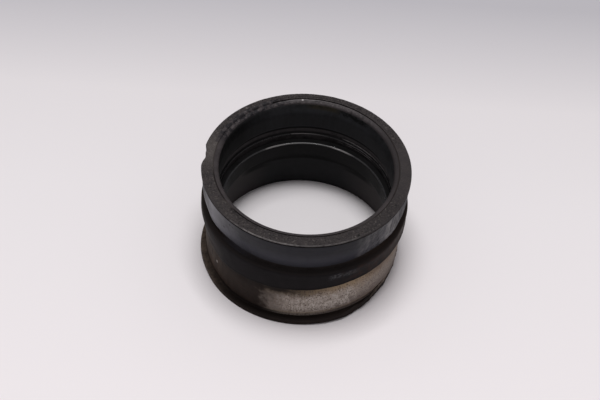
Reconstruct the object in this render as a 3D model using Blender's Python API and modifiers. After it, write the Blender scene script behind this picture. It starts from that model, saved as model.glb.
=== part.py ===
"""Carburetor intake boot: one moulded rubber sleeve, open right through.

It stands on its lower end, centred on the Z axis. From the top down, its outside is a flat rim, a clamp seat
that draws inward, a square ridge, a lower clamp groove and a thin lip. Inside are the upper socket with its
bevelled mouth, a groove with a small bead, the stop rib and the lower socket. The part is in metres.

Azimuths are in degrees about the Z axis, from the front (-Y) towards the right (+X).
"""
import math

import bmesh
import bpy
from mathutils import Matrix, Vector

MM = 0.001

# Heights of the outside, stacked from the lower face
BOOT_HEIGHT = 35.6 * MM
LIP_HEIGHT = 2.6 * MM
CLAMP_GROOVE_WIDTH = 13.0 * MM
RIDGE_WIDTH = 7.5 * MM

# Heights of the inside, stacked from the lower face
LOWER_SOCKET_DEPTH = 14.8 * MM
RIB_WIDTH = 5.3 * MM
BEAD_GROOVE_WIDTH = 6.5 * MM
BEAD_ABOVE_RIB = 2.8 * MM

# Radii of the two sockets, which fit the spigots; the lower one is a step wider
UPPER_SOCKET_RADIUS = 25.7 * MM
SOCKET_STEP = 1.75 * MM
LOWER_SOCKET_RADIUS = UPPER_SOCKET_RADIUS + SOCKET_STEP

# Radial sizes of the inside, measured from the sockets
RIB_DEPTH = 1.05 * MM
BEAD_GROOVE_DEPTH = 0.8 * MM
BEAD_DEPTH = 0.6 * MM
BEAD_HALF_WIDTH = 0.6 * MM
MOUTH_BEVEL_WIDTH = 1.75 * MM
MOUTH_BEVEL_DROP = 0.8 * MM

# Radial sizes of the outside, measured from the sockets
UPPER_WALL = 2.8 * MM
RIM_DRAW = 2.5 * MM
RIM_BAND_HEIGHT = 2.4 * MM
LOWER_WALL = 2.1 * MM
GROOVE_DRAW = 0.3 * MM
RIDGE_STAND_OUT = 1.6 * MM
LIP_STAND_OUT = 1.9 * MM

# Radii of the rounded edges, in the section
RIM_EDGE = 0.25 * MM
SEAT_BEND = 8.0 * MM
RIDGE_EDGE = 0.5 * MM
LIP_EDGE = 0.7 * MM
ROOT_FILLET = 0.6 * MM
RIB_EDGE = 0.3 * MM
BEAD_GROOVE_FILLET = 0.3 * MM
MOUTH_EDGE = 0.6 * MM

# Wear: a chip in the rim's outer edge, and a stretch of the lip worn flush with the clamp groove
CHIP_AZIMUTH = -95.5
CHIP_DEPTH = 0.8 * MM
CHIP_CUT_RADIUS = 6.0 * MM
CHIP_HEIGHT = 6.0 * MM
WORN_LIP_AZIMUTHS = (56.0, 69.0, 82.0)
WORN_LIP_BITE = 0.2 * MM
WORN_LIP_CUT_LENGTH = 30.0 * MM
WORN_LIP_CUT_DEPTH = 6.0 * MM

# Fineness of the turned surface and of its rounded edges
TURN_STEPS = 72
ARC_STEP = math.radians(46)
ARC_SHARE_OF_SIDE = 0.45
CHIP_CUT_SIDES = 32
CUT_OVERRUN = 1.0 * MM
MERGE_DISTANCE = 0.001 * MM
SMOOTH_ANGLE = math.radians(35)

# Black rubber, dulled by use; the colour is linear
RUBBER_COLOUR = (0.022, 0.020, 0.022, 1.0)
RUBBER_ROUGHNESS = 0.55


def clear_scene():
    for old in list(bpy.data.objects):
        bpy.data.objects.remove(old, do_unlink=True)


def new_collection(name):
    collection = bpy.data.collections.new(name)
    bpy.context.scene.collection.children.link(collection)
    return collection


def rubber():
    material = bpy.data.materials.new("moulded_rubber")
    material.use_nodes = True
    shader = material.node_tree.nodes["Principled BSDF"]
    shader.inputs["Base Color"].default_value = RUBBER_COLOUR
    shader.inputs["Roughness"].default_value = RUBBER_ROUGHNESS
    shader.inputs["Metallic"].default_value = 0.0
    return material


def rounded_corner(before, corner, after, radius):
    """The points of the arc that rounds one corner of an outline, or the corner itself.

    The arc takes up less than half of the shorter side, so that two neighbouring arcs never meet.
    """
    if radius == 0:
        return [corner]
    to_before = (before - corner).normalized()
    to_after = (after - corner).normalized()
    opening = to_before.angle(to_after)
    shorter_side = min((before - corner).length, (after - corner).length)
    reach = min(radius / math.tan(opening / 2), ARC_SHARE_OF_SIDE * shorter_side)
    start = corner + to_before * reach
    centre = corner + (to_before + to_after).normalized() * reach / math.cos(opening / 2)
    turn = math.copysign(math.pi - opening, to_after.cross(to_before))
    steps = max(1, math.ceil(abs(turn) / ARC_STEP))
    return [centre + Matrix.Rotation(turn * step / steps, 2) @ (start - centre) for step in range(steps + 1)]


def rounded_outline(corners):
    """A closed outline, from corners given as radius from the axis, height and rounding."""
    points = []
    for index, (radius, height, rounding) in enumerate(corners):
        before = Vector(corners[index - 1][:2])
        after = Vector(corners[(index + 1) % len(corners)][:2])
        points += rounded_corner(before, Vector((radius, height)), after, rounding)
    return points


def outside_corners():
    """From the rim's outer edge down to the lower face."""
    seat_foot = UPPER_SOCKET_RADIUS + UPPER_WALL
    rim = seat_foot + RIM_DRAW
    groove_foot = LOWER_SOCKET_RADIUS + LOWER_WALL
    groove_top = groove_foot + GROOVE_DRAW
    ridge = groove_foot + RIDGE_STAND_OUT
    lip = groove_foot + LIP_STAND_OUT
    ridge_bottom = LIP_HEIGHT + CLAMP_GROOVE_WIDTH
    ridge_top = ridge_bottom + RIDGE_WIDTH
    return [
        (rim, BOOT_HEIGHT, RIM_EDGE),
        (rim, BOOT_HEIGHT - RIM_BAND_HEIGHT, SEAT_BEND),
        (seat_foot, ridge_top, ROOT_FILLET),
        (ridge, ridge_top, RIDGE_EDGE),
        (ridge, ridge_bottom, RIDGE_EDGE),
        (groove_top, ridge_bottom, ROOT_FILLET),
        (groove_foot, LIP_HEIGHT, ROOT_FILLET),
        (lip, LIP_HEIGHT, LIP_EDGE),
        (lip, 0.0, LIP_EDGE),
    ]


def inside_corners():
    """From the lower face up to the rim's bevelled mouth."""
    rib = UPPER_SOCKET_RADIUS - RIB_DEPTH
    bead_groove = UPPER_SOCKET_RADIUS + BEAD_GROOVE_DEPTH
    rib_top = LOWER_SOCKET_DEPTH + RIB_WIDTH
    bead = rib_top + BEAD_ABOVE_RIB
    groove_top = rib_top + BEAD_GROOVE_WIDTH
    return [
        (LOWER_SOCKET_RADIUS, 0.0, RIB_EDGE),
        (LOWER_SOCKET_RADIUS, LOWER_SOCKET_DEPTH, ROOT_FILLET),
        (rib, LOWER_SOCKET_DEPTH, RIB_EDGE),
        (rib, rib_top, RIB_EDGE),
        (bead_groove, rib_top, ROOT_FILLET),
        (bead_groove, bead - BEAD_HALF_WIDTH, 0.0),
        (bead_groove - BEAD_DEPTH, bead, RIB_EDGE),
        (bead_groove, bead + BEAD_HALF_WIDTH, 0.0),
        (bead_groove, groove_top, BEAD_GROOVE_FILLET),
        (UPPER_SOCKET_RADIUS, groove_top, RIB_EDGE),
        (UPPER_SOCKET_RADIUS, BOOT_HEIGHT - MOUTH_BEVEL_DROP, MOUTH_EDGE),
        (UPPER_SOCKET_RADIUS + MOUTH_BEVEL_WIDTH, BOOT_HEIGHT, 0.0),
    ]


def turned_sleeve(collection):
    """The sleeve's section, swept once round the Z axis."""
    outline = rounded_outline(outside_corners() + inside_corners())
    edges = [(index, (index + 1) % len(outline)) for index in range(len(outline))]
    mesh = bpy.data.meshes.new("intake_boot")
    mesh.from_pydata([(point.x, 0.0, point.y) for point in outline], edges, [])
    boot = bpy.data.objects.new("intake_boot", mesh)
    collection.objects.link(boot)
    mesh.materials.append(rubber())
    turning = boot.modifiers.new("turning", "SCREW")
    turning.axis = "Z"
    turning.angle = math.tau
    turning.steps = TURN_STEPS
    turning.render_steps = TURN_STEPS
    turning.use_merge_vertices = True
    turning.merge_threshold = MERGE_DISTANCE
    turning.use_smooth_shade = True
    return boot


def placed_at(azimuth, distance, height):
    """A cutter's matrix: out from the axis by a distance, with its own +X pointing outward."""
    turn = Matrix.Rotation(math.radians(azimuth) - math.pi / 2, 4, "Z")
    return turn @ Matrix.Translation((distance, 0.0, height))


def new_cutter(name, form, collection):
    mesh = bpy.data.meshes.new(name)
    form.to_mesh(mesh)
    form.free()
    cutter = bpy.data.objects.new(name, mesh)
    cutter.hide_render = True
    cutter.display_type = "WIRE"
    collection.objects.link(cutter)
    return cutter


def chip_cutter(collection):
    """An upright cylinder that bites a shallow scallop out of the rim's edge."""
    rim = UPPER_SOCKET_RADIUS + UPPER_WALL + RIM_DRAW
    form = bmesh.new()
    bmesh.ops.create_cone(
        form,
        cap_ends=True,
        segments=CHIP_CUT_SIDES,
        radius1=CHIP_CUT_RADIUS,
        radius2=CHIP_CUT_RADIUS,
        depth=CHIP_HEIGHT,
    )
    cutter = new_cutter("rim_chip_cutter", form, collection)
    height = BOOT_HEIGHT - CHIP_HEIGHT / 2 + CUT_OVERRUN
    cutter.matrix_world = placed_at(CHIP_AZIMUTH, rim - CHIP_DEPTH + CHIP_CUT_RADIUS, height)
    return cutter


def worn_lip_cutter(azimuth, collection):
    """A block that takes the lip off flat, a little below the clamp groove's surface."""
    flat = LOWER_SOCKET_RADIUS + LOWER_WALL - WORN_LIP_BITE
    size = (WORN_LIP_CUT_DEPTH, WORN_LIP_CUT_LENGTH, LIP_HEIGHT + CUT_OVERRUN)
    form = bmesh.new()
    bmesh.ops.create_cube(form, size=1.0, matrix=Matrix.Diagonal((*size, 1.0)))
    cutter = new_cutter(f"worn_lip_cutter_{azimuth:.0f}", form, collection)
    height = (LIP_HEIGHT - CUT_OVERRUN) / 2
    cutter.matrix_world = placed_at(azimuth, flat + WORN_LIP_CUT_DEPTH / 2, height)
    return cutter


def cut(boot, cutter):
    bite = boot.modifiers.new(cutter.name, "BOOLEAN")
    bite.operation = "DIFFERENCE"
    bite.solver = "EXACT"
    bite.object = cutter


def smooth_round_faces(boot):
    """Shades the finished sleeve smooth, with its real edges left sharp."""
    depsgraph = bpy.context.evaluated_depsgraph_get()
    mesh = bpy.data.meshes.new_from_object(boot.evaluated_get(depsgraph))
    mesh.name = boot.name
    mesh.shade_smooth()
    mesh.set_sharp_from_angle(angle=SMOOTH_ANGLE)
    boot.modifiers.clear()
    boot.data = mesh


def build():
    clear_scene()
    parts = new_collection("carburetor_intake_boot")
    cutters = new_collection("cutters")
    boot = turned_sleeve(parts)
    cut(boot, chip_cutter(cutters))
    for azimuth in WORN_LIP_AZIMUTHS:
        cut(boot, worn_lip_cutter(azimuth, cutters))
    smooth_round_faces(boot)


build()
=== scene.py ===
import math

import bmesh
import bpy
from mathutils import Matrix, Vector


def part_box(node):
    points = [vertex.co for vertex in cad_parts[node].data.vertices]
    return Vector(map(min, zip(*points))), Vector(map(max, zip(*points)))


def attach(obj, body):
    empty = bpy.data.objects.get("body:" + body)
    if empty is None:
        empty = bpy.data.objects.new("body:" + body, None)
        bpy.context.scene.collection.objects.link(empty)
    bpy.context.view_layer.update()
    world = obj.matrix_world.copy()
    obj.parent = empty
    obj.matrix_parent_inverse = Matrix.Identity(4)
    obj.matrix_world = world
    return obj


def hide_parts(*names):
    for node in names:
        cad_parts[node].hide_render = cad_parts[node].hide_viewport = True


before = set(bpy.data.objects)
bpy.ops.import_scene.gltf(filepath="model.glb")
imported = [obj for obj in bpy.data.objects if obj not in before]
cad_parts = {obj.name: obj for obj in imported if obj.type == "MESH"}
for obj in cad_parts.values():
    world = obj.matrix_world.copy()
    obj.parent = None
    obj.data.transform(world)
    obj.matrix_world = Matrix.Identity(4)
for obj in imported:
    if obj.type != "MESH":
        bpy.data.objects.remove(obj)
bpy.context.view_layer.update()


# The sleeve is one piece of black EPDM rubber, moulded and vulcanised round a core in one shot. Its flat rim,
# clamp seat, ridge, clamp groove and lip are turned shapes, and so are the two sockets and the rib between.
# Use has chipped and pitted the rim, torn the edge of its mouth and rubbed the lip away on the right.

MM = 0.001
boot_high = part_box("intake_boot")[1]

# Heights from the lower face, outside and inside
RIM_HEIGHT = boot_high.z
PARTING_TOP = RIM_HEIGHT - 0.4 * MM
PARTING_FOOT = PARTING_TOP - 0.4 * MM
SEAT_TOP = RIM_HEIGHT - 2.4 * MM
RIDGE_TOP = 23.1 * MM
RIDGE_FOOT = 15.6 * MM
LIP_TOP = 2.6 * MM
RIB_FOOT = 14.8 * MM
RIB_TOP = 20.1 * MM
BEAD_HEIGHT = 22.9 * MM
BEAD_HALF_WIDTH = 0.6 * MM
BEAD_GROOVE_TOP = 26.6 * MM
UPPER_BORE_TOP = RIM_HEIGHT - 1.3 * MM

# Radii from the axis; the ridge and the lip set the width of the boot
RIM_RADIUS = 31.0 * MM
PARTING_DEPTH = 0.2 * MM
PARTING_BEVEL = 0.1 * MM
SEAT_FOOT_RADIUS = 28.5 * MM
RIDGE_RADIUS = boot_high.x
GROOVE_TOP_RADIUS = 29.85 * MM
GROOVE_FOOT_RADIUS = 29.55 * MM
LIP_RADIUS = boot_high.y
LOWER_BORE_RADIUS = 27.45 * MM
RIB_RADIUS = 24.65 * MM
BEAD_GROOVE_RADIUS = 26.5 * MM
BEAD_RADIUS = 25.9 * MM
UPPER_BORE_RADIUS = 25.7 * MM
CREASE_RADIUS = 27.45 * MM
CREASE_HALF_WIDTH = 0.18 * MM
CREASE_DEPTH = 0.3 * MM
CREASE_STEP = 0.05 * MM
MOUTH_BEVEL = 0.45 * MM

# The section, from the rim's outer edge down the outside and up the inside: radius, height, rounding in mm
SECTION = (
    (RIM_RADIUS, RIM_HEIGHT, 0.25),
    (RIM_RADIUS, PARTING_TOP, 0.0),
    (RIM_RADIUS - PARTING_DEPTH, PARTING_TOP - PARTING_BEVEL, 0.0),
    (RIM_RADIUS - PARTING_DEPTH, PARTING_FOOT + PARTING_BEVEL, 0.0),
    (RIM_RADIUS, PARTING_FOOT, 0.0),
    (RIM_RADIUS, SEAT_TOP, 1.5),
    (SEAT_FOOT_RADIUS, RIDGE_TOP, 0.8),
    (RIDGE_RADIUS, RIDGE_TOP, 1.2),
    (RIDGE_RADIUS, RIDGE_FOOT, 0.4),
    (GROOVE_TOP_RADIUS, RIDGE_FOOT, 0.5),
    (GROOVE_FOOT_RADIUS, LIP_TOP, 0.5),
    (LIP_RADIUS, LIP_TOP, 0.6),
    (LIP_RADIUS, 0.0, 0.6),
    (LOWER_BORE_RADIUS, 0.0, 0.3),
    (LOWER_BORE_RADIUS, RIB_FOOT, 0.5),
    (RIB_RADIUS, RIB_FOOT, 0.15),
    (RIB_RADIUS, RIB_TOP, 0.35),
    (BEAD_GROOVE_RADIUS, RIB_TOP, 0.5),
    (BEAD_GROOVE_RADIUS, BEAD_HEIGHT - BEAD_HALF_WIDTH, 0.1),
    (BEAD_RADIUS, BEAD_HEIGHT, 0.3),
    (BEAD_GROOVE_RADIUS, BEAD_HEIGHT + BEAD_HALF_WIDTH, 0.1),
    (BEAD_GROOVE_RADIUS, BEAD_GROOVE_TOP, 0.3),
    (UPPER_BORE_RADIUS, BEAD_GROOVE_TOP, 0.25),
    (UPPER_BORE_RADIUS, UPPER_BORE_TOP, 0.4),
    (UPPER_BORE_RADIUS + MOUTH_BEVEL, RIM_HEIGHT - MOUTH_BEVEL, 0.35),
    (CREASE_RADIUS - CREASE_HALF_WIDTH, RIM_HEIGHT - CREASE_STEP, 0.0),
    (CREASE_RADIUS, RIM_HEIGHT - CREASE_DEPTH, 0.0),
    (CREASE_RADIUS + CREASE_HALF_WIDTH, RIM_HEIGHT, 0.0),
)
SIDES = 400
LARGEST_ROUNDING = max(rounding for radius, height, rounding in SECTION)
ROUNDING_STEPS = 3
ROW_HEIGHT = 0.48 * MM
SMOOTH_BELOW = math.radians(40)

# Edges count as equally long when they differ by less than 1.5 steps of a thousandth of a mm
LENGTH_STEP = 0.001 * MM
SAME_LENGTH = 1.5


def azimuth_of(point):
    """Degrees about the axis, from the front towards the right."""
    return math.degrees(math.atan2(point.x, -point.y))


def outward(azimuth):
    """The level direction out from the axis at an azimuth."""
    return Vector((math.sin(math.radians(azimuth)), -math.cos(math.radians(azimuth)), 0))


def select_points(wanted):
    """Selects the points that a test of azimuth, radius and height picks."""
    bpy.ops.mesh.select_mode(type="VERT")
    bpy.ops.mesh.select_all(action="DESELECT")
    mesh = bmesh.from_edit_mesh(bpy.context.edit_object.data)
    for point in mesh.verts:
        point.select_set(wanted(azimuth_of(point.co), point.co.xy.length, point.co.z))
    mesh.select_flush_mode()


def select_edges(wanted):
    """Selects the edges that a test picks."""
    bpy.ops.mesh.select_mode(type="EDGE")
    bpy.ops.mesh.select_all(action="DESELECT")
    mesh = bmesh.from_edit_mesh(bpy.context.edit_object.data)
    for edge in mesh.edges:
        edge.select_set(wanted(edge))


def select_faces(wanted):
    """Selects the faces whose middle a test of azimuth, radius and height picks."""
    bpy.ops.mesh.select_mode(type="FACE")
    bpy.ops.mesh.select_all(action="DESELECT")
    mesh = bmesh.from_edit_mesh(bpy.context.edit_object.data)
    for face in mesh.faces:
        middle = face.calc_center_median()
        face.select_set(wanted(azimuth_of(middle), middle.xy.length, middle.z))


def draw_out_section():
    """Draws a circle at the rim out ring by ring, round the whole section and back to where it began."""
    radius, height, rounding = SECTION[0]
    bpy.ops.mesh.primitive_circle_add(vertices=SIDES, radius=radius, location=(0, 0, height))
    sleeve = bpy.context.object
    sleeve.name = sleeve.data.name = "rubber_sleeve"
    bpy.ops.object.transform_apply(location=True, rotation=True, scale=True)
    bpy.ops.object.mode_set(mode="EDIT")
    bpy.ops.mesh.select_all(action="SELECT")
    for next_radius, next_height, rounding in SECTION[1:]:
        bpy.ops.mesh.extrude_region_move(TRANSFORM_OT_translate={"value": (0, 0, next_height - height)})
        stretch = next_radius / radius
        bpy.ops.transform.resize(value=(stretch, stretch, 1), center_override=(0, 0, next_height))
        radius, height = next_radius, next_height
    select_edges(lambda edge: edge.is_boundary)
    bpy.ops.mesh.bridge_edge_loops()
    bpy.ops.object.mode_set(mode="OBJECT")
    return sleeve


def round_edges(sleeve):
    """Rounds each ring of the section by its own radius, with one weighted bevel."""
    weights = sleeve.data.attributes.new("bevel_weight_edge", "FLOAT", "EDGE")
    for edge in sleeve.data.edges:
        ring, other_ring = (point // SIDES for point in edge.vertices)
        if ring == other_ring:
            weights.data[edge.index].value = SECTION[ring][2] / LARGEST_ROUNDING
    rounding = sleeve.modifiers.new("rounding", "BEVEL")
    rounding.limit_method = "WEIGHT"
    rounding.width = LARGEST_ROUNDING * MM
    rounding.segments = ROUNDING_STEPS
    bpy.ops.object.modifier_apply(modifier=rounding.name)


def cut_into_rows():
    """Cuts every tall band of the sleeve into even rows, fine enough to hold wear."""
    bpy.ops.object.mode_set(mode="EDIT")
    mesh = bmesh.from_edit_mesh(bpy.context.edit_object.data)
    longest_side = math.tau * LIP_RADIUS / SIDES
    tall_edges = [edge for edge in mesh.edges if edge.calc_length() > longest_side + LENGTH_STEP]
    for length in sorted({round(edge.calc_length() / LENGTH_STEP) for edge in tall_edges}):
        select_edges(lambda edge: abs(edge.calc_length() / LENGTH_STEP - length) < SAME_LENGTH)
        bpy.ops.mesh.subdivide(number_cuts=math.ceil(length * LENGTH_STEP / ROW_HEIGHT) - 1)
    bpy.ops.mesh.select_all(action="SELECT")
    bpy.ops.mesh.normals_make_consistent(inside=False)
    bpy.ops.object.mode_set(mode="OBJECT")


bpy.ops.object.select_all(action="DESELECT")
boot = draw_out_section()
round_edges(boot)
cut_into_rows()

# Each point keeps its place as moulded, so that stains follow the worn and leaning surface
AS_MOULDED = "place_as_moulded"
kept_places = boot.data.attributes.new(AS_MOULDED, "FLOAT_VECTOR", "POINT")
for point in boot.data.vertices:
    kept_places.data[point.index].vector = point.co


def linear(hex_colour):
    """An sRGB hex colour as linear red, green, blue and alpha."""
    colour = []
    for digit in (1, 3, 5):
        channel = int(hex_colour[digit:digit + 2], 16) / 255
        colour.append(channel / 12.92 if channel <= 0.04045 else ((channel + 0.055) / 1.055) ** 2.4)
    return colour + [1.0]


def add_node(material, kind, inputs=None, stops=(), **settings):
    """Adds one node with its settings, and fills its inputs with values or with other nodes' outputs. The
    stops of a ramp are pairs of a position and a level or hex colour."""
    node = material.node_tree.nodes.new(kind)
    for name, value in settings.items():
        setattr(node, name, value)
    for socket, value in (inputs or {}).items():
        if isinstance(value, bpy.types.NodeSocket):
            material.node_tree.links.new(value, node.inputs[socket])
        else:
            node.inputs[socket].default_value = value
    for count, (position, level) in enumerate(stops):
        elements = node.color_ramp.elements
        stop = elements[count] if count < 2 else elements.new(position)
        stop.position = position
        stop.color = linear(level) if isinstance(level, str) else (level, level, level, 1)
    return node


def blur(material, value, place, size, reach):
    """Shifts a value by up to a reach either way, by noise of a size in mm at a place."""
    noise = add_node(material, "ShaderNodeTexNoise", {"Vector": place, "Scale": 1 / (size * MM), "Detail": 6})
    shift = add_node(material, "ShaderNodeMapRange", {
        "Value": noise.outputs["Fac"], "From Min": 0.2, "From Max": 0.8, "To Min": -reach, "To Max": reach,
    })
    return add_node(material, "ShaderNodeMath", {0: value, 1: shift.outputs[0]}).outputs[0]


def around(material, *stops, waver=0.0):
    """A level that changes round the sleeve, from pairs of azimuth and level. Waver, in degrees, blurs it."""
    place = add_node(material, "ShaderNodeAttribute", attribute_name=AS_MOULDED).outputs["Vector"]
    axes = add_node(material, "ShaderNodeSeparateXYZ", {0: place})
    forwards = add_node(material, "ShaderNodeMath", {0: axes.outputs["Y"], 1: -1.0}, operation="MULTIPLY")
    angle = add_node(material, "ShaderNodeMath", {
        0: axes.outputs["X"], 1: forwards.outputs[0],
    }, operation="ARCTAN2")
    blurred = blur(material, angle.outputs[0], place, 3, math.radians(waver))
    share = add_node(material, "ShaderNodeMapRange", {
        "Value": blurred, "From Min": -math.pi, "From Max": math.pi,
    })
    ramp_stops = [(0.5 + azimuth / 360, level) for azimuth, level in stops]
    return add_node(material, "ShaderNodeValToRGB", {0: share.outputs[0]}, ramp_stops).outputs["Color"]


def upwards(material, *stops, waver=0.0):
    """A level that changes with the height, from pairs of height in mm and level. Waver, in mm, blurs it."""
    place = add_node(material, "ShaderNodeAttribute", attribute_name=AS_MOULDED).outputs["Vector"]
    axes = add_node(material, "ShaderNodeSeparateXYZ", {0: place})
    blurred = blur(material, axes.outputs["Z"], place, 2.5, waver * MM)
    share = add_node(material, "ShaderNodeMath", {0: blurred, 1: RIM_HEIGHT}, operation="DIVIDE")
    ramp_stops = [(height * MM / RIM_HEIGHT, level) for height, level in stops]
    return add_node(material, "ShaderNodeValToRGB", {0: share.outputs[0]}, ramp_stops).outputs["Color"]


def outwards(material, *stops):
    """A level that changes with the distance from the axis, from pairs of radius in mm and level."""
    place = add_node(material, "ShaderNodeAttribute", attribute_name=AS_MOULDED).outputs["Vector"]
    flat = add_node(material, "ShaderNodeVectorMath", {0: place, 1: (1, 1, 0)}, operation="MULTIPLY")
    from_axis = add_node(material, "ShaderNodeVectorMath", {0: flat.outputs[0]}, operation="LENGTH")
    share = add_node(material, "ShaderNodeMapRange", {
        "Value": from_axis.outputs["Value"], "From Min": RIB_RADIUS, "From Max": LIP_RADIUS,
    })
    width = LIP_RADIUS - RIB_RADIUS
    ramp_stops = [((radius * MM - RIB_RADIUS) / width, level) for radius, level in stops]
    return add_node(material, "ShaderNodeValToRGB", {0: share.outputs[0]}, ramp_stops).outputs["Color"]


def patches(material, size, low, high, stretch=(1, 1, 1)):
    """Uneven patches of about a size in mm: 0 where their noise is under low, and 1 where it is over high."""
    place = add_node(material, "ShaderNodeTexCoord").outputs["Object"]
    scaled = add_node(material, "ShaderNodeMapping", {
        "Vector": place, "Scale": [1 / (size * MM * along) for along in stretch],
    })
    noise = add_node(material, "ShaderNodeTexNoise", {
        "Vector": scaled.outputs[0], "Scale": 1.0, "Detail": 5, "Roughness": 0.6,
    })
    spread = add_node(material, "ShaderNodeMapRange", {
        "Value": noise.outputs["Fac"], "From Min": low, "From Max": high,
    })
    return spread.outputs["Result"]


def spot(material, azimuth, radius, height, size):
    """A ragged spot at a place in degrees and mm: 1 in the middle and 0 from a size in mm outwards."""
    place = add_node(material, "ShaderNodeAttribute", attribute_name=AS_MOULDED).outputs["Vector"]
    middle = outward(azimuth) * radius * MM + Vector((0, 0, height * MM))
    away = add_node(material, "ShaderNodeVectorMath", {0: place, 1: middle}, operation="DISTANCE")
    noise = add_node(material, "ShaderNodeTexNoise", {"Vector": place, "Scale": 2 / (size * MM), "Detail": 3})
    ragged = add_node(material, "ShaderNodeMath", {
        0: noise.outputs["Fac"], 1: size * MM, 2: away.outputs["Value"],
    }, operation="MULTIPLY_ADD")
    spread = add_node(material, "ShaderNodeMapRange", {
        "Value": ragged.outputs[0], "From Min": 1.4 * size * MM, "From Max": 0.9 * size * MM,
    })
    return spread.outputs["Result"]


def product(material, masks):
    """One mask that is 1 only where every one of the masks is."""
    mask = masks[0]
    for other in masks[1:]:
        mask = add_node(material, "ShaderNodeMath", {0: mask, 1: other}, operation="MULTIPLY").outputs[0]
    return mask


def tint(material, colour, *masks):
    """Lays a colour over what the rubber has, where the masks say."""
    shader = material.node_tree.nodes["Principled BSDF"]
    below = shader.inputs["Base Color"].links[0].from_socket
    mixed = add_node(material, "ShaderNodeMix", {
        "Factor": product(material, masks), 6: below, 7: linear(colour),
    }, data_type="RGBA")
    material.node_tree.links.new(mixed.outputs[2], shader.inputs["Base Color"])


def polish(material, roughness, *masks):
    """Makes the rubber as rough as a value, where the masks say."""
    shader = material.node_tree.nodes["Principled BSDF"]
    below = shader.inputs["Roughness"].links[0].from_socket
    mixed = add_node(material, "ShaderNodeMix", {"Factor": product(material, masks), 2: below, 3: roughness})
    material.node_tree.links.new(mixed.outputs[0], shader.inputs["Roughness"])


def emboss(material, depth, *masks):
    """Raises the surface by a depth in mm, or sinks it, where the masks say."""
    shader = material.node_tree.nodes["Principled BSDF"]
    below = shader.inputs["Normal"].links[0].from_socket
    bump = add_node(material, "ShaderNodeBump", {
        "Height": product(material, masks), "Distance": abs(depth) * MM, "Normal": below,
    }, invert=depth < 0)
    material.node_tree.links.new(bump.outputs["Normal"], shader.inputs["Normal"])


def rubber(name, dark, light, mottle_size, grain_size, grain_depth, roughness, specular):
    """Black rubber under a thin bloom: two close colours, mottled, over a grain. Sizes are in mm. The real
    grain is too fine to show, so it is drawn coarser."""
    material = bpy.data.materials.new(name)
    material.use_nodes = True
    mottle = patches(material, mottle_size, 0.35, 0.68)
    colour = add_node(material, "ShaderNodeMix", {
        "Factor": mottle, 6: linear(dark), 7: linear(light),
    }, data_type="RGBA")
    bump = add_node(material, "ShaderNodeBump", {
        "Height": patches(material, grain_size, 0.2, 0.8), "Distance": grain_depth * MM,
    })
    unevenness = 0.05
    gloss = add_node(material, "ShaderNodeMapRange", {
        "Value": mottle, "To Min": roughness - unevenness, "To Max": roughness + unevenness,
    })
    shader = material.node_tree.nodes["Principled BSDF"]
    shader.inputs["Specular IOR Level"].default_value = specular
    material.node_tree.links.new(colour.outputs[2], shader.inputs["Base Color"])
    material.node_tree.links.new(gloss.outputs["Result"], shader.inputs["Roughness"])
    material.node_tree.links.new(bump.outputs["Normal"], shader.inputs["Normal"])
    return material


# Moulded EPDM, wiped clean by a clamp: a smooth, faintly blue black that shines at a grazing angle, and that
# is streaked, bloomed and duller towards the sides. The pale bloom there is partly painted sheen
seat = rubber("clamped_epdm_seat", "#18181c", "#1f1f25", 5, 0.5, 0.02, 0.42, 0.06)
# Paler towards the foot: painted light, lifting the shade over the ledge
tint(seat, "#38383e", upwards(seat, (23.2, 1), (26.5, 1), (31, 0)))
# Pale streaks on the sides: partly bloom, partly painted sheen
tint(seat, "#8f8f94", patches(seat, 2.0, 0.1, 0.5, (1, 1, 9)), around(
    seat, (-130, 0), (-84, 0.25), (-72, 0.35), (-62, 0.7), (-50, 0.35), (-34, 0.05), (34, 0), (50, 0.15),
    (60, 0.2), (84, 0.2), (130, 0)))
# Paler mottled streaks on the sides: partly bloom, partly painted sheen
tint(seat, "#a7a4a3", patches(seat, 1.6, 0.36, 0.64, (1, 1, 4)), around(
    seat, (-120, 0), (-100, 0.3), (-74, 0.25), (-62, 0), (30, 0), (39, 0.3), (44, 0.1), (49, 0.1), (57, 0.7),
    (66, 0.3), (100, 0.3), (120, 0)))
tint(seat, "#252427", patches(seat, 0.9, 0.50, 0.62, (1, 1, 6)), around(
    seat, (-100, 0), (-84, 0.6), (-72, 0.5), (-64, 0), (30, 0), (42, 0.5), (47, 0.8), (52, 0.6), (66, 0.8),
    (84, 0.6), (100, 0)))
# A painted highlight low on the left side of the seat
tint(seat, "#b4b2b4", upwards(seat, (28, 1), (30, 0)), around(
    seat, (-82, 0), (-76, 0.3), (-70, 0.3), (-62, 0)))
emboss(seat, 0.25, patches(seat, 1.1, 0.3, 0.7, (1, 1, 2.5)), around(
    seat, (32, 0), (44, 1), (90, 1), (110, 0)))
polish(seat, 0.75, around(seat, (-76, 1), (-62, 0), (52, 0), (66, 1)))
for mark in (
    (-43, 30.9, 33.0, 0.5), (-49, 30.2, 29.0, 0.7), (-32, 30.9, 32.6, 0.35), (-41, 30.9, 32.9, 0.3),
):
    tint(seat, "#0b0a0b", spot(seat, *mark))

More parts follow.
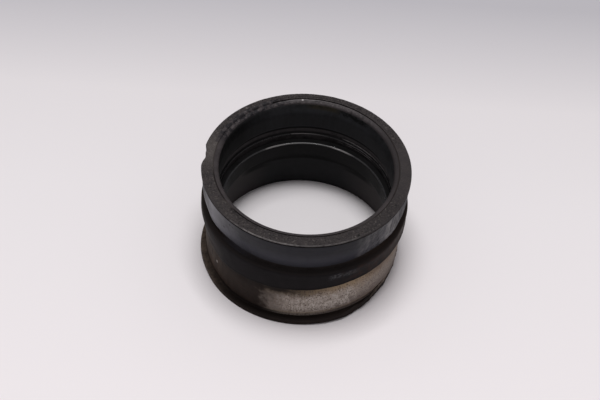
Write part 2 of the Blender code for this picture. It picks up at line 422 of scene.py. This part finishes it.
# Weathered EPDM: ozone has made the face of the rim a dull, grainy brown black, with pits and pale specks
rim = rubber("weathered_epdm_rim", "#282425", "#383333", 2.2, 0.4, 0.10, 0.62, 0.18)
tint(rim, "#1a1617", around(rim, (26, 0), (44, 0.35), (66, 0.5), (84, 0.35), (120, 0.25), (135, 0)))
grainy = around(rim, (-180, 1), (60, 1), (74, 0.2), (104, 0.2), (118, 1), (180, 1))
tint(rim, "#4a4543", patches(rim, 0.7, 0.50, 0.66), grainy)
tint(rim, "#110e0f", patches(rim, 0.55, 0.54, 0.66, (1, 1, 1.1)), grainy)
emboss(rim, -0.2, patches(rim, 0.7, 0.46, 0.62), grainy)
tint(rim, "#4f4a48", around(rim, (-116, 0), (-104, 0.8), (-94, 0.8), (-82, 0)))
tint(rim, "#141011", patches(rim, 1.1, 0.46, 0.56), outwards(
    rim, (27.9, 0.9), (28.3, 0.7), (28.6, 0)), around(
    rim, (-60, 0), (-52, 0.9), (-12, 0.9), (-4, 0)))
tint(rim, "#100e13", patches(rim, 1.3, 0.46, 0.54), outwards(rim, (28.3, 0.9), (29.0, 0)), around(
    rim, (-168, 0), (-156, 0.9), (-112, 0.9), (-104, 0)))
# The dark spot at 31.5 degrees is a pit that is not modelled: painted shade in its hollow
for mark in (
    (31.5, 30.2, 35.6, 0.5), (63, 29.5, 35.6, 0.45), (-140, 28.6, 35.6, 0.4), (-8, 29.3, 35.6, 0.3),
):
    tint(rim, "#0a0909", spot(rim, *mark))
# The pale spot at 29.5 degrees is a painted highlight on the edge of that pit
for mark in ((-140, 29.8, 35.6, 0.6), (29.5, 30.2, 35.6, 0.35), (-158, 28.8, 35.6, 0.5)):
    tint(rim, "#5f5a58", spot(rim, *mark))

# The edge of the rim, where the skin is rubbed smoother along the front, and a pale highlight is painted on
# it
rim_edge = rubber("rubbed_epdm_rim_edge_with_painted_highlight", "#262223", "#353030", 2.2, 0.4, 0.04, 0.55, 0.2)
rubbed = around(rim_edge, (-44, 0), (-34, 0.9), (-8, 0.7), (0, 0.3), (24, 0.4), (34, 0), waver=5)
# The pale tint is a painted highlight along the front of the edge
tint(rim_edge, "#6c6867", rubbed, patches(rim_edge, 1.4, 0.35, 0.55))
polish(rim_edge, 0.28, rubbed)

# The same skin on the band inside the crease, smoother where the spigot pushed in. At the back it is
# blotched, torn on the left, and stained olive
mouth = rubber("worn_epdm_mouth", "#292526", "#373233", 2.0, 0.5, 0.06, 0.55, 0.16)
at_back = around(mouth, (-180, 1), (-125, 1), (-105, 0), (118, 0), (150, 1), (180, 1), waver=5)
# Darker towards the bevel's lower edge at the back: painted shade where it turns down into the socket
tint(mouth, "#171415", at_back, upwards(mouth, (34.3, 0.8), (34.7, 0.5), (35.1, 0), waver=0.15))
tint(mouth, "#464142", at_back, patches(mouth, 0.8, 0.46, 0.62), upwards(mouth, (34.9, 0), (35.2, 1)))
tint(mouth, "#1b1819", at_back, patches(mouth, 1.3, 0.54, 0.64))
tint(mouth, "#1d191a", around(mouth, (60, 0), (80, 0.7), (118, 0.7), (134, 0)))
# A pale line inside the crease at the back: a painted highlight
tint(mouth, "#7a7577", outwards(mouth, (26.95, 0), (27.1, 1)), around(
    mouth, (-180, 0.5), (-163, 0.6), (-156, 0), (150, 0), (168, 0.15), (180, 0.5), waver=4))
tint(mouth, "#0d0b0f", patches(mouth, 1.3, 0.44, 0.52), around(
    mouth, (-172, 0), (-160, 0.8), (-150, 0.9), (-112, 0.9), (-104, 0)))
tint(mouth, "#27231a", upwards(mouth, (33.0, 0), (33.6, 1), (34.6, 1), (34.9, 0)), around(
    mouth, (-180, 0.6), (-177, 0), (158, 0), (163, 0.9), (174, 0.9), (180, 0.6)))
# A painted glint by the crease at the back
tint(mouth, "#b8b4b4", spot(mouth, -175, 27.1, 35.5, 0.4))

# The crease round the mouth and the parting line under the rim's edge: matt and nearly black, which is
# painted shade in these narrow grooves
crease = rubber("painted_shade_crease", "#0c0a0a", "#171414", 1.0, 0.4, 0.05, 0.9, 0.05)
tint(crease, "#423d3c", patches(crease, 0.8, 0.2, 0.45), around(
    crease, (-150, 0), (-118, 1), (-84, 1), (-78, 0.3), (-58, 0.3), (-55, 1), (-49, 1), (-46, 0), (24, 0.1),
    (36, 0.8), (45, 0.8), (50, 0.5), (70, 0.5), (110, 0.5), (130, 0.3), (150, 0)))

# The sockets: a mould-smooth black, with a satin shine and faint upright streaks from the core's draw
bore = rubber("core_moulded_epdm_bore", "#1d1d1e", "#242426", 6, 0.5, 0.015, 0.5, 0.06)
tint(bore, "#2c2d30", patches(bore, 1.2, 0.4, 0.7, (1, 1, 10)), upwards(bore, (26, 0), (27, 0.4), (34, 0.4)))
# Darker high on the socket's wall, most on the left: painted shade
tint(bore, "#060606", upwards(bore, (14, 0), (26, 1)), around(
    bore, (-155, 0), (-128, 0.85), (-60, 0.85), (-30, 0.3), (90, 0.3), (125, 0)))
tint(bore, "#060606", patches(bore, 1.6, 0.5, 0.6), upwards(bore, (26, 0), (27, 1)), around(
    bore, (-135, 0), (-120, 0.9), (-90, 0.9), (-70, 0)))
# Paler low in the socket at the sides and front: painted light, as thrown up from the table
tint(bore, "#3f3b3b", upwards(bore, (0, 1), (12, 1), (15, 0)), around(
    bore, (-155, 0), (-132, 0.8), (-70, 0.8), (70, 0.8), (128, 0.9), (158, 0)))
# Near black just under the stop rib at the back: a painted shadow of the rib
tint(bore, "#020202", upwards(bore, (10.3, 0), (10.9, 1), (15.0, 1), (15.1, 0)), around(
    bore, (-180, 0.9), (-152, 0.9), (-140, 0.2), (-120, 0), (115, 0), (130, 0.8), (180, 0.9)))
# The same painted shadow of the rib, reaching lower at the two sides of the back
tint(bore, "#020202", upwards(bore, (8.7, 0), (9.5, 1), (15.0, 1), (15.1, 0)), around(
    bore, (-156, 0), (-149, 0.9), (-140, 0.9), (-132, 0), (128, 0), (138, 0.9), (149, 0.9), (158, 0)))
# A painted shadow just under the mouth's edge, at the back on the right
tint(bore, "#070707", patches(bore, 1.2, 0.38, 0.53, (1, 1, 0.5)), upwards(
    bore, (32.9, 0), (33.5, 1)), around(
    bore, (134, 0), (140, 0.9), (157, 0.9), (162, 0)))
tint(bore, "#27231a", upwards(bore, (33.2, 0), (34.0, 1)), around(
    bore, (-180, 0.5), (-177, 0), (158, 0), (163, 0.8), (178, 0.8), (180, 0.5)))
# Darker in patches just under the mouth's edge all round: painted shade
tint(bore, "#0f0f0f", upwards(bore, (33.6, 0), (34.4, 0.7)), patches(bore, 1.4, 0.35, 0.6))

# Between the sockets the rubber has kept oil and dust: darker, duller, ringed by the fine steps of the core
rib = rubber("oiled_epdm_rib_with_painted_light_and_shade", "#131313", "#1c1b1c", 4, 0.5, 0.02, 0.5, 0.05)
# Near black along the rib's lower corner: painted shade
tint(rib, "#020202", upwards(rib, (14.7, 1), (15.1, 1), (15.4, 0)))
# Paler bands below and above the bead: painted light, lifting the shade of the bead's groove
tint(rib, "#3c393a", upwards(rib, (20.3, 0), (20.7, 1), (22.2, 1), (22.6, 0)), patches(rib, 2.5, 0.2, 0.6))
tint(rib, "#3c393a", upwards(rib, (23.4, 0), (24.0, 1), (24.9, 1), (25.3, 0)), patches(rib, 2.0, 0.2, 0.5))
# Darker rib face towards the sides: painted shade
tint(rib, "#060606", upwards(rib, (19.4, 1), (19.8, 0)), around(
    rib, (-150, 0), (-126, 0.8), (126, 0.8), (150, 0)))
# A near-black line under the top of the bead's groove: painted shade
tint(rib, "#020202", upwards(rib, (24.9, 0), (25.2, 1), (25.5, 1), (25.7, 0)))
tint(rib, "#2b2c30", upwards(rib, (25.6, 0), (25.8, 1)))

# The core's rings are 0.7 mm apart, and the wave texture's are 0.314 apart at a scale of 1
RING_SPACING = 0.7 * MM
WAVE_AT_SCALE_ONE = 0.314
waves = add_node(rib, "ShaderNodeTexWave", {
    "Vector": add_node(rib, "ShaderNodeTexCoord").outputs["Object"],
    "Scale": WAVE_AT_SCALE_ONE / RING_SPACING, "Distortion": 0.8, "Detail": 1,
}, wave_type="BANDS", bands_direction="Z")
rings = add_node(rib, "ShaderNodeMapRange", {
    "Value": waves.outputs["Fac"], "From Min": 0.45, "From Max": 0.85,
})
stepped = (upwards(rib, (20.9, 0), (21.3, 1), (23.6, 1), (24.0, 0)), around(
    rib, (95, 0), (108, 0.4), (128, 0.5), (136, 1), (152, 1), (160, 0)))
emboss(rib, 0.06, rings.outputs["Result"], *stepped)
# Darker over the core's rings, as ground for the highlights painted on them
tint(rib, "#050505", *stepped)
# Pale rings: painted highlights on the core's fine steps
tint(rib, "#8c898a", rings.outputs["Result"], patches(rib, 3.0, 0.35, 0.6), *stepped)

# The corner of the stop rib and the top of the bead, rubbed to a shine by the spigot, with painted highlights
shiny = rubber("rubbed_epdm_edge_with_painted_highlight", "#18181a", "#202022", 4, 0.5, 0.01, 0.3, 0.4)
rubbed_and_highlit_corner = around(
    shiny, (-180, 0.2), (-168, 0.35), (-158, 1), (-151, 1), (-147, 0), (144, 0), (151, 1), (160, 1),
    (165, 0.1), (180, 0.2))
rubbed_and_highlit_bead = around(shiny, (-180, 1), (-169, 1), (-167, 0), (166, 0), (174, 0.5), (180, 1))
for rubbed_and_highlit_part in (
    (rubbed_and_highlit_corner, upwards(shiny, (21.0, 1), (21.5, 0))),
    (rubbed_and_highlit_bead, upwards(shiny, (22.85, 0), (22.95, 1))),
):
    polish(shiny, 0.1, *rubbed_and_highlit_part)
    # The pale tint is a painted highlight
    tint(shiny, "#757272", *rubbed_and_highlit_part)

# The step under the seat and the ridge: unwiped rubber with oily dirt, matt, browner towards the sides
ledge = rubber("dirty_epdm_ledge", "#262221", "#2f2b2a", 3, 0.5, 0.05, 0.8, 0.05)
tint(ledge, "#3a302b", around(
    ledge, (-110, 0.8), (-60, 0.4), (-40, 0), (26, 0), (44, 0.6), (70, 0.8), (110, 0.8)))
tint(ledge, "#343236", outwards(ledge, (28.4, 1), (29.9, 1), (30.3, 0)), around(
    ledge, (-52, 0), (-46, 0.7), (-36, 1), (-30, 0.2), (-22, 0)))
tint(ledge, "#1b1818", outwards(ledge, (29.6, 0), (30.2, 0.7)))
ridge = rubber("oily_epdm_ridge", "#141213", "#1c191b", 4, 0.5, 0.03, 0.6, 0.05)
tint(ridge, "#52463d", patches(ridge, 2.0, 0.3, 0.6, (1, 1, 3)), around(
    ridge, (-120, 0.7), (-62, 0.2), (-46, 0), (28, 0), (44, 0.1), (60, 0.35), (120, 0.7)))
tint(ridge, "#2b1f1c", patches(ridge, 1.5, 0.45, 0.6), around(ridge, (18, 0), (34, 0.8), (60, 0.8), (80, 0)))
tint(ridge, "#4a4a4c", patches(ridge, 0.7, 0.42, 0.6, (1, 1, 0.4)), around(
    ridge, (14, 0), (19, 1), (27, 0.7), (36, 0), waver=4), upwards(
    ridge, (19.0, 0), (20.2, 1), (21.2, 1), (22.0, 0), waver=0.5))
# Darker along the ridge's foot: painted shade
tint(ridge, "#090605", upwards(ridge, (15.5, 1), (16.1, 1), (16.8, 0), waver=0.3), around(
    ridge, (-54, 0), (-44, 0.9), (0, 1), (60, 0.7), (90, 0.3), (130, 0)))

# The groove that its clamp has left bare: brown dust on the left, and on the right a chalky tan stain of
# minerals from the rusted band, golden at its upper edge, speckled and streaked
groove = rubber("rust_stained_epdm_groove", "#221b18", "#2c2420", 2.5, 0.5, 0.04, 0.6, 0.06)
tint(groove, "#54483e", patches(groove, 1.4, 0.3, 0.62, (1, 1, 5)), around(
    groove, (-176, 0), (-140, 0.9), (-80, 0.8), (-60, 0.5), (-44, 0.1), (-30, 0)))
stained = around(
    groove, (-23, 0), (-16, 0.5), (-9, 0.85), (0, 1), (40, 1), (66, 0.8), (90, 0.4), (130, 0.2), (160, 0),
    waver=6)
tint(groove, "#8e847c", stained)
tint(groove, "#8f7c63", stained, upwards(groove, (10.0, 0), (12.5, 0.8), (15.0, 1), waver=1.8))
tint(groove, "#5f5552", stained, upwards(groove, (2.6, 1), (4.6, 0.9), (8.5, 0), waver=2), around(
    groove, (4, 0), (24, 0.9), (90, 0.8)))
tint(groove, "#bab2aa", stained, patches(groove, 1.6, 0.36, 0.60, (1, 1, 1.3)), upwards(
    groove, (3, 0), (5, 1), (11, 1), (13, 0)), around(
    groove, (-16, 0.2), (-4, 0.8), (29, 1), (37, 0.1), (60, 0)))
tint(groove, "#4a3d35", stained, patches(groove, 0.45, 0.54, 0.62))
tint(groove, "#6f635a", stained, patches(groove, 0.5, 0.46, 0.62, (1, 1, 6)), around(
    groove, (-30, 0.9), (-10, 0.9), (12, 0.4), (40, 0.3), (70, 0.7)))
# A dark wedge high on the left of the stain, under the ridge: painted shade
tint(groove, "#1b1512", upwards(groove, (10.0, 0), (13.0, 1), waver=1.2), around(
    groove, (-50, 0.6), (-12, 1), (0, 0.75), (16, 0.15), (26, 0), waver=4))
tint(groove, "#5f5149", stained, upwards(groove, (11.0, 0), (13.5, 1), waver=1.0), around(
    groove, (34, 0), (50, 0.8), (64, 0.95), (90, 0.95)))
tint(groove, "#7d705f", upwards(groove, (3.1, 0), (3.3, 1), (3.6, 1), (3.9, 0)), around(
    groove, (-20, 0), (-10, 0.6), (45, 0.6), (60, 0)))
# Darker right under the ridge: a painted shadow of its edge
tint(groove, "#120d0b", upwards(groove, (14.8, 0), (15.4, 1), waver=0.2), around(
    groove, (-54, 0), (-44, 1), (0, 1), (20, 0.4), (60, 0.2), (100, 0)))
# A dark line in the corner above the lip: painted shade
tint(groove, "#0f0a08", upwards(groove, (2.6, 1), (3.0, 1), (3.3, 0), waver=0.1), around(
    groove, (-150, 0), (-110, 0.5), (-60, 0.6), (-44, 1), (-24, 1), (-10, 0.5), (30, 0.3), (60, 0)))
tint(groove, "#9b958f", spot(groove, -58, 29.7, 8.0, 0.6))

# The lip on the floor side: thick dark brown rubber, dusty on top
lip = rubber("dusty_epdm_lip", "#1a1513", "#251e1b", 3, 0.5, 0.05, 0.65, 0.06)
tint(lip, "#5c5047", patches(lip, 1.5, 0.3, 0.6), around(
    lip, (-176, 0), (-140, 0.9), (-80, 0.8), (-60, 0.6), (-42, 0.1), (-30, 0)))
# Darker on the lip's top at the front, in the corner under the groove's wall: painted shade
tint(lip, "#0f0a08", upwards(lip, (2.0, 0), (2.4, 0.8)), around(
    lip, (-60, 0.2), (-40, 1), (10, 1), (30, 0.3), (60, 0)))
tint(lip, "#75695f", upwards(lip, (0.2, 0), (0.7, 1), waver=0.3), around(
    lip, (46, 0), (58, 0.9), (90, 0.8), (106, 0), waver=6))

# Where one finish turns into the next, and where each lies. A later one covers an earlier one, and the last
# takes in the flat top of the lip
BORE_FINISH_TOP = UPPER_BORE_TOP + 0.3 * MM
LEDGE_FINISH_TOP = RIDGE_TOP + 0.3 * MM
LEDGE_FINISH_FOOT = RIDGE_TOP - 0.6 * MM
OUTSIDE_RADIUS = 28.6 * MM
RIM_EDGE_WIDTH = 0.24 * MM
TORN_EDGE_RADIUS = 28.3 * MM
TORN_EDGE_START = -156
TORN_EDGE_END = -104
RIB_FINISH_RADIUS = 27.4 * MM
RUBBED_CORNER_WIDTH = 0.4 * MM
RUBBED_BEAD_DEPTH = 0.25 * MM
RUBBED_BEAD_HALF_WIDTH = 0.35 * MM
FOOT_FINISH_RADIUS = 27.6 * MM
LIP_FINISH_TOP = LIP_TOP + 0.05 * MM
FINISHES = (
    (seat, lambda azimuth, radius, height:
        radius > SEAT_FOOT_RADIUS - 1 * MM and height > LEDGE_FINISH_TOP),
    (rim, lambda azimuth, radius, height:
        radius > CREASE_RADIUS and height > PARTING_TOP),
    (rim_edge, lambda azimuth, radius, height:
        radius > RIM_RADIUS - RIM_EDGE_WIDTH and height > PARTING_TOP),
    (crease, lambda azimuth, radius, height:
        radius > RIM_RADIUS - 1 * MM and PARTING_FOOT < height < PARTING_TOP),
    (mouth, lambda azimuth, radius, height:
        radius < CREASE_RADIUS and height > BORE_FINISH_TOP),
    (crease, lambda azimuth, radius, height:
        abs(radius - CREASE_RADIUS) < CREASE_HALF_WIDTH and height > RIM_HEIGHT - CREASE_DEPTH),
    (mouth, lambda azimuth, radius, height:
        radius < TORN_EDGE_RADIUS and height > PARTING_TOP and TORN_EDGE_START < azimuth < TORN_EDGE_END),
    (bore, lambda azimuth, radius, height:
        radius < FOOT_FINISH_RADIUS and height < BORE_FINISH_TOP),
    (rib, lambda azimuth, radius, height:
        radius < RIB_FINISH_RADIUS and RIB_FOOT - 0.2 * MM < height < BEAD_GROOVE_TOP),
    (shiny, lambda azimuth, radius, height:
        radius < RIB_RADIUS + RUBBED_CORNER_WIDTH
        and RIB_TOP - RUBBED_CORNER_WIDTH < height < RIB_TOP + 0.1 * MM),
    (shiny, lambda azimuth, radius, height:
        radius < BEAD_RADIUS + RUBBED_BEAD_DEPTH and abs(height - BEAD_HEIGHT) < RUBBED_BEAD_HALF_WIDTH),
    (ledge, lambda azimuth, radius, height:
        radius > SEAT_FOOT_RADIUS - 0.5 * MM and LEDGE_FINISH_FOOT < height < LEDGE_FINISH_TOP),
    (ridge, lambda azimuth, radius, height:
        radius > OUTSIDE_RADIUS and RIDGE_FOOT < height < LEDGE_FINISH_FOOT),
    (groove, lambda azimuth, radius, height:
        radius > OUTSIDE_RADIUS and LIP_TOP < height < RIDGE_FOOT),
    (lip, lambda azimuth, radius, height:
        radius > FOOT_FINISH_RADIUS and height < LIP_FINISH_TOP),
)
bpy.ops.object.mode_set(mode="EDIT")
for finish, wanted in FINISHES:
    if finish.name not in boot.data.materials:
        boot.data.materials.append(finish)
    select_faces(wanted)
    boot.active_material_index = boot.data.materials.find(finish.name)
    bpy.ops.object.material_slot_assign()


def pull(azimuth, radius, height, offset, reach, grip=0.6 * MM):
    """Drags the surface at a place, with a soft edge. The offset is an outward and an upward one."""
    place = outward(azimuth) * radius + Vector((0, 0, height))
    bpy.ops.mesh.select_mode(type="VERT")
    bpy.ops.mesh.select_all(action="DESELECT")
    for point in bmesh.from_edit_mesh(bpy.context.edit_object.data).verts:
        point.select_set((point.co - place).length < grip)
    out, up = offset
    bpy.ops.transform.translate(
        value=outward(azimuth) * out + Vector((0, 0, up)),
        use_proportional_edit=True,
        use_proportional_connected=True,
        proportional_edit_falloff="SMOOTH",
        proportional_size=reach,
    )


def lean(height, lowest_radius, rise, reach):
    """Tips a ring of the outside, so that it stands higher on the right than on the left."""
    select_points(lambda azimuth, radius, level: radius > lowest_radius and abs(level - height) < ROW_HEIGHT)
    bpy.ops.transform.rotate(
        value=math.atan2(rise, RIDGE_RADIUS),
        orient_axis="Y",
        center_override=(0, 0, height),
        use_proportional_edit=True,
        use_proportional_connected=True,
        proportional_edit_falloff="SMOOTH",
        proportional_size=reach,
    )


def rub_flat(azimuth, distance, lowest, highest):
    """Presses all that stands out past an upright plane flat on to it, between two heights."""
    out = outward(azimuth)
    across = Vector((0, 0, 1)).cross(out)
    bpy.ops.mesh.select_mode(type="VERT")
    bpy.ops.mesh.select_all(action="DESELECT")
    for point in bmesh.from_edit_mesh(bpy.context.edit_object.data).verts:
        point.select_set(lowest < point.co.z < highest and point.co.dot(out) > distance)
    bpy.ops.transform.resize(
        value=(0, 1, 1),
        orient_type="GLOBAL",
        orient_matrix=(out, across, (0, 0, 1)),
        orient_matrix_type="GLOBAL",
        center_override=out * distance,
    )


# The clamp groove was moulded a little out of square: it rises towards the right
lean(RIDGE_FOOT, lowest_radius=GROOVE_FOOT_RADIUS - 0.2 * MM, rise=2.0 * MM, reach=7.4 * MM)
lean(LIP_TOP, lowest_radius=GROOVE_FOOT_RADIUS - 0.2 * MM, rise=1.4 * MM, reach=6.0 * MM)

# The lip is thicker on the left
pull(-70, GROOVE_FOOT_RADIUS, LIP_TOP - 1.2 * MM, offset=(0, 1.3 * MM), reach=16 * MM)

# A chip in the rim on the left
pull(-96, RIM_RADIUS, RIM_HEIGHT - 0.3 * MM, offset=(-0.75 * MM, 0), reach=2.6 * MM, grip=1.6 * MM)
pull(-91.5, RIM_RADIUS, RIM_HEIGHT - 0.3 * MM, offset=(-0.35 * MM, 0), reach=2.2 * MM, grip=1.2 * MM)

# The lip is rubbed away on the right, down to the wall of the groove
for azimuth, distance in (
    (40, 30.5 * MM), (50, 29.9 * MM), (58, 29.3 * MM), (69, 29.1 * MM), (82, 29.3 * MM),
):
    rub_flat(azimuth, distance, lowest=-1 * MM, highest=LIP_TOP + 1.4 * MM)

# The foot is pressed level, because the boot stands on it
select_points(lambda azimuth, radius, height: height < 0)
bpy.ops.transform.resize(value=(1, 1, 0), center_override=(0, 0, 0))
bpy.ops.object.mode_set(mode="OBJECT")


def fade(value, start, end):
    """Rises smoothly from 0 at the start to 1 at the end."""
    share = min(max((value - start) / (end - start), 0), 1)
    return share * share * (3 - 2 * share)


def wear(name, strength, depth, size=None, direction="NORMAL"):
    """Moves the surface by a depth in mm, as far as a strength says. The strength is worked out from the turn
    away from the front, the azimuth, the radius and the height, in degrees and mm. With a size in mm the
    surface is moved unevenly, and only inwards."""
    group = boot.vertex_groups.new(name=name)
    for point in boot.data.vertices:
        azimuth = azimuth_of(point.co)
        share = strength(abs(azimuth), azimuth, point.co.xy.length / MM, point.co.z / MM)
        if share > 0:
            group.add([point.index], share, "REPLACE")
    shift = boot.modifiers.new(name, "DISPLACE")
    shift.vertex_group = name
    shift.strength = depth * MM
    shift.direction = direction
    shift.mid_level = 0
    if size:
        shift.texture = bpy.data.textures.new(name, "CLOUDS")
        shift.texture.noise_scale = size * MM
        shift.mid_level = 1
    bpy.ops.object.modifier_apply(modifier=shift.name)
    boot.vertex_groups.remove(boot.vertex_groups[name])


# The mouth is stretched towards the back
wear("stretched_mouth", lambda turn, azimuth, radius, height: (
    fade(turn, 60, 125) * fade(height, 31.5, 34.8) * fade(radius, 29.6, 28.6)), depth=1.1, direction="Y")

# Its edge is torn at the back on the left, and the rim is pitted all round
wear("torn_edge", lambda turn, azimuth, radius, height: (
    fade(azimuth, -170, -160) * fade(azimuth, -106, -116) * fade(height, 34.0, 35.0)
    * fade(radius, 29.0, 28.3)), depth=0.5, size=1.5)
wear("pitted_rim", lambda turn, azimuth, radius, height: fade(height, 35.3, 35.5), depth=0.12, size=0.9)

# The clamp seat was moulded shallower at the sides than at the front
wear("shallow_seat", lambda turn, azimuth, radius, height: (
    fade(turn, 38, 66) * fade(turn, 142, 114) * fade(height, 33, 27) * fade(height, 23.0, 23.5)
    * fade(radius, 27.6, 28.2)), depth=1.0)

# The foot of the ridge is rubbed round on the left
wear("rubbed_ridge", lambda turn, azimuth, radius, height: (
    fade(azimuth, -42, -62) * fade(azimuth, -132, -112) * fade(height, 20.5, 15.5) * fade(height, 10, 12)
    * fade(radius, 29.8, 31.1)), depth=0.8, direction="X")

# The outside is uneven, and most of all where the lip is rubbed away
wear("uneven_wall", lambda turn, azimuth, radius, height: (
    fade(radius, 28.2, 28.8) * fade(height, 35.0, 33.0) * fade(height, 0.2, 1.0)), depth=0.2, size=5)
wear("rubbed_lip", lambda turn, azimuth, radius, height: (
    fade(azimuth, 15, 40) * fade(azimuth, 125, 105) * fade(height, 5, 3) * fade(radius, 28.2, 28.8)),
    depth=0.4, size=1.5)

# Nothing stands higher than the face of the rim
bpy.ops.object.mode_set(mode="EDIT")
select_points(lambda azimuth, radius, height: height > RIM_HEIGHT)
bpy.ops.transform.resize(value=(1, 1, 0), center_override=(0, 0, RIM_HEIGHT))
bpy.ops.object.mode_set(mode="OBJECT")
bpy.ops.object.shade_smooth_by_angle(angle=SMOOTH_BELOW)

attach(boot, "root")
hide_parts("intake_boot")


# The boot stands on a pale studio table, painted matt white, that runs back without an edge. It darkens
# towards the back, as the photographed one does.

TABLE_WIDTH = 6.0
SHADE_START = -60 * MM
SHADE_END = 120 * MM
# These shades darken the table towards the back: a painted falloff of the light
TABLE_SHADES = ((0.0, "#ede8ea"), (0.45, "#e5e1e3"), (0.7, "#dedadc"), (1.0, "#b9b7bc"))
bpy.ops.mesh.primitive_plane_add(size=TABLE_WIDTH, location=(0, 0, 0))
table = bpy.context.object
table.name = "studio_table"
table_paint = bpy.data.materials.new("matt_white_table")
table_paint.use_nodes = True
place_on_table = add_node(table_paint, "ShaderNodeTexCoord").outputs["Object"]
axes = add_node(table_paint, "ShaderNodeSeparateXYZ", {0: place_on_table})
distance = add_node(table_paint, "ShaderNodeMapRange", {
    "Value": axes.outputs["Y"], "From Min": SHADE_START, "From Max": SHADE_END,
})
paint = add_node(table_paint, "ShaderNodeValToRGB", {0: distance.outputs[0]}, TABLE_SHADES)
shader = table_paint.node_tree.nodes["Principled BSDF"]
shader.inputs["Roughness"].default_value = 0.9
shader.inputs["Specular IOR Level"].default_value = 0.1
table_paint.node_tree.links.new(paint.outputs["Color"], shader.inputs["Base Color"])
table.data.materials.append(table_paint)


# One large soft lamp hangs a metre over the table, and white walls fill the shadows. The walls look brighter
# than the light they give, as the rubber's shine in the photograph asks.

LAMP_SIZE = 0.38
LAMP_PLACE = Vector((-0.02, 0.03, 1.0))
LAMP_POWER = 7.1
lamp_data = bpy.data.lights.new("softbox", "AREA")
lamp_data.size = LAMP_SIZE
lamp_data.energy = LAMP_POWER
lamp = bpy.data.objects.new("softbox", lamp_data)
lamp.location = LAMP_PLACE
lamp.rotation_euler = (-LAMP_PLACE).to_track_quat("-Z", "Y").to_euler()
bpy.context.scene.collection.objects.link(lamp)

ROOM_COLOUR = "#dcd8da"
ROOM_LIGHT = 0.47
ROOM_SEEN = 1.0
room = bpy.data.worlds.new("white_room")
room.use_nodes = True
rays = add_node(room, "ShaderNodeLightPath")
seen_or_mirrored = add_node(room, "ShaderNodeMath", {
    0: rays.outputs["Is Camera Ray"], 1: rays.outputs["Is Glossy Ray"],
}, operation="MAXIMUM")
seen = add_node(room, "ShaderNodeMath", {
    0: seen_or_mirrored.outputs[0], 1: rays.outputs["Is Transmission Ray"],
}, operation="MAXIMUM")
strength = add_node(room, "ShaderNodeMapRange", {
    "Value": seen.outputs[0], "To Min": ROOM_LIGHT, "To Max": ROOM_SEEN,
})
background = room.node_tree.nodes["Background"]
background.inputs["Color"].default_value = linear(ROOM_COLOUR)
room.node_tree.links.new(strength.outputs["Result"], background.inputs["Strength"])
bpy.context.scene.world = room
bpy.context.scene.view_settings.view_transform = "Standard"


# The camera stands in front of the boot and looks down on it, turned a little about its own line of sight.
# Its sensor and lens are in mm.

CAMERA_PLACE = Vector((-1.36, -308.47, 358.31)) * MM
LOOK_DOWN = math.radians(47.583)
CAMERA_ROLL = math.radians(3.412)
SENSOR_WIDTH = 36.0
LENS_LENGTH = 91.09
camera_data = bpy.data.cameras.new("camera")
camera_data.sensor_width = SENSOR_WIDTH
camera_data.lens = LENS_LENGTH
camera = bpy.data.objects.new("camera", camera_data)
aim = Matrix.Rotation(math.radians(90) - LOOK_DOWN, 4, "X") @ Matrix.Rotation(CAMERA_ROLL, 4, "Z")
camera.matrix_world = Matrix.Translation(CAMERA_PLACE) @ aim
bpy.context.scene.collection.objects.link(camera)
bpy.context.scene.camera = camera
